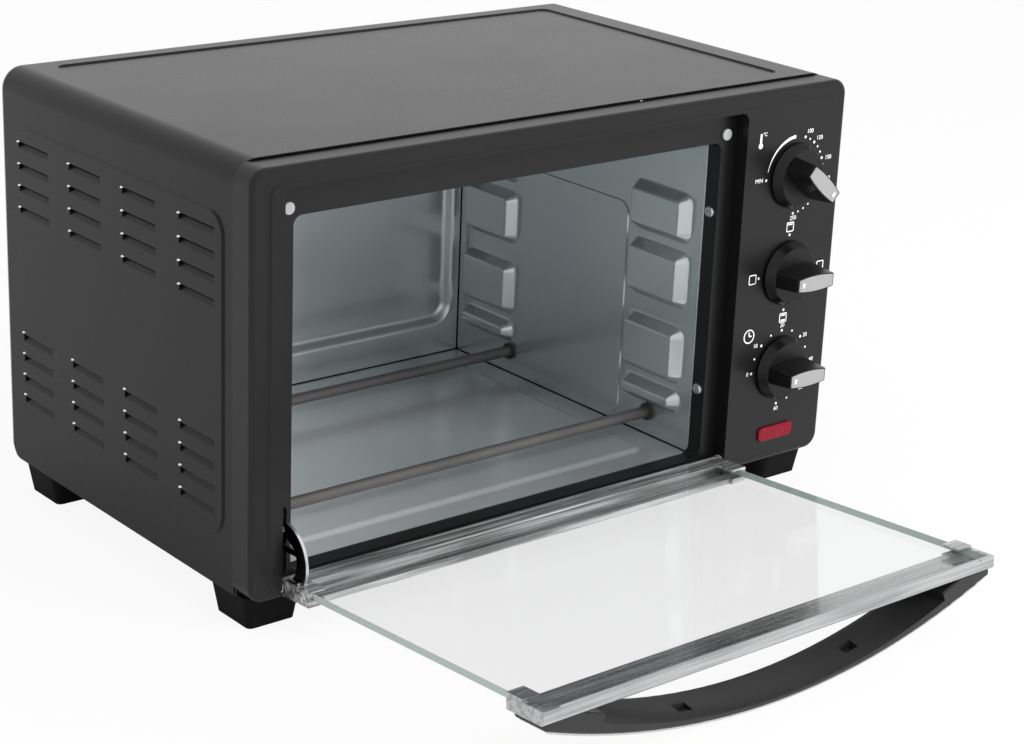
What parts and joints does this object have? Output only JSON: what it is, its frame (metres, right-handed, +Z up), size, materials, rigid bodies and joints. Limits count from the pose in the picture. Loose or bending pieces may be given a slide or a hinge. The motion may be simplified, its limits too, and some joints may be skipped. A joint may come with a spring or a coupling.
{
  "type": "mini oven",
  "caption": "Countertop mini oven with a drop-down glass door, bowed handle, louvred black casing, exposed heating rods and a panel of turning dials.",
  "frame": {"origin": "centre of the whole object's plan, door open, at the soles of the feet", "axes": "+X to the oven's right seen from the front, +Y to the back, +Z up"},
  "size_m": [0.4, 0.456, 0.2412],
  "materials": {
    "casing_paint": "satin powder coat",
    "frame_paint": "satin powder coat",
    "zinc_sheet": "galvanised",
    "liner_sheet": "aluminised, fine spangle",
    "heater_tube": "heat-tinted",
    "ceramic": "fired dark",
    "control_case": "moulded",
    "screw_zinc": "zinc plated",
    "shaft_steel": "turned",
    "knob_black": "semi-gloss",
    "insert_metal": "brushed",
    "lamp_red": "translucent gloss",
    "lamp_case": "moulded",
    "foot_black": "moulded",
    "bumper_grey": "matte",
    "gland_black": "moulded",
    "bush_nylon": "moulded",
    "hinge_steel": "plated",
    "spring_steel": "plain",
    "door_glass": "clear, toughened",
    "rail_chrome": "bright",
    "handle_black": "fine grain",
    "trim_chrome": "bright"
  },
  "bodies": {
    "oven": {"outer_wrap": "casing_paint", "front_frame": "frame_paint", "rear_cover": "zinc_sheet", "base_plate": "zinc_sheet", "cavity_left_wall": "liner_sheet", "cavity_right_wall": "liner_sheet", "cavity_rear_wall": "liner_sheet", "cavity_roof": "liner_sheet", "cavity_floor": "liner_sheet", "lower_front_element": "heater_tube", "lower_rear_element": "heater_tube", "upper_front_element": "heater_tube", "upper_rear_element": "heater_tube", "element_bushes": "ceramic", "thermostat_body": "control_case", "selector_body": "control_case", "timer_body": "control_case", "control_screws": "screw_zinc", "flange_screws": "screw_zinc", "foot_screws": "screw_zinc", "rear_screws": "screw_zinc", "lamp_lens": "lamp_red", "lamp_holder": "lamp_case", "door_bumpers": "bumper_grey", "cord_gland": "gland_black", "hinge_bush_left": "bush_nylon", "hinge_bush_right": "bush_nylon", "door_spring": "spring_steel", "spring_anchor": "zinc_sheet", "foot_front_left": "foot_black", "foot_front_right": "foot_black", "foot_rear_left": "foot_black", "foot_rear_right": "foot_black"},
    "door": {"door_lower_rail": "rail_chrome", "door_upper_rail": "rail_chrome", "door_glass": "door_glass", "hinge_cap_left": "rail_chrome", "hinge_cap_right": "rail_chrome", "hinge_pin_left": "hinge_steel", "hinge_pin_right": "hinge_steel", "rail_cap_left": "rail_chrome", "rail_cap_right": "rail_chrome", "handle": "handle_black", "handle_trim": "trim_chrome", "handle_screws": "screw_zinc", "hinge_arm": "hinge_steel"},
    "thermostat_dial": {"thermostat_shaft": "shaft_steel", "thermostat_knob": "knob_black", "thermostat_insert": "insert_metal"},
    "selector_dial": {"selector_shaft": "shaft_steel", "selector_knob": "knob_black", "selector_insert": "insert_metal"},
    "timer_dial": {"timer_shaft": "shaft_steel", "timer_knob": "knob_black", "timer_insert": "insert_metal"}
  },
  "joints": [
    {"name": "door_hinge", "type": "hinge", "parent": "oven", "child": "door", "pos_m": [-0.0295, -0.02251, 0.0235], "axis": [-1, 0, 0], "range_deg": [0, 85.87], "deforming": ["door_spring"]},
    {"name": "thermostat_turn", "type": "hinge", "parent": "oven", "child": "thermostat_dial", "pos_m": [0.1615, -0.02691, 0.189], "axis": [0, 1, 0], "range_deg": [-221, 49]},
    {"name": "selector_turn", "type": "hinge", "parent": "oven", "child": "selector_dial", "pos_m": [0.1615, -0.02691, 0.132], "axis": [0, 1, 0], "range_deg": [0, 270]},
    {"name": "timer_turn", "type": "hinge", "parent": "oven", "child": "timer_dial", "pos_m": [0.1615, -0.02691, 0.075], "axis": [0, 1, 0], "range_deg": [0, 270]}
  ]
}
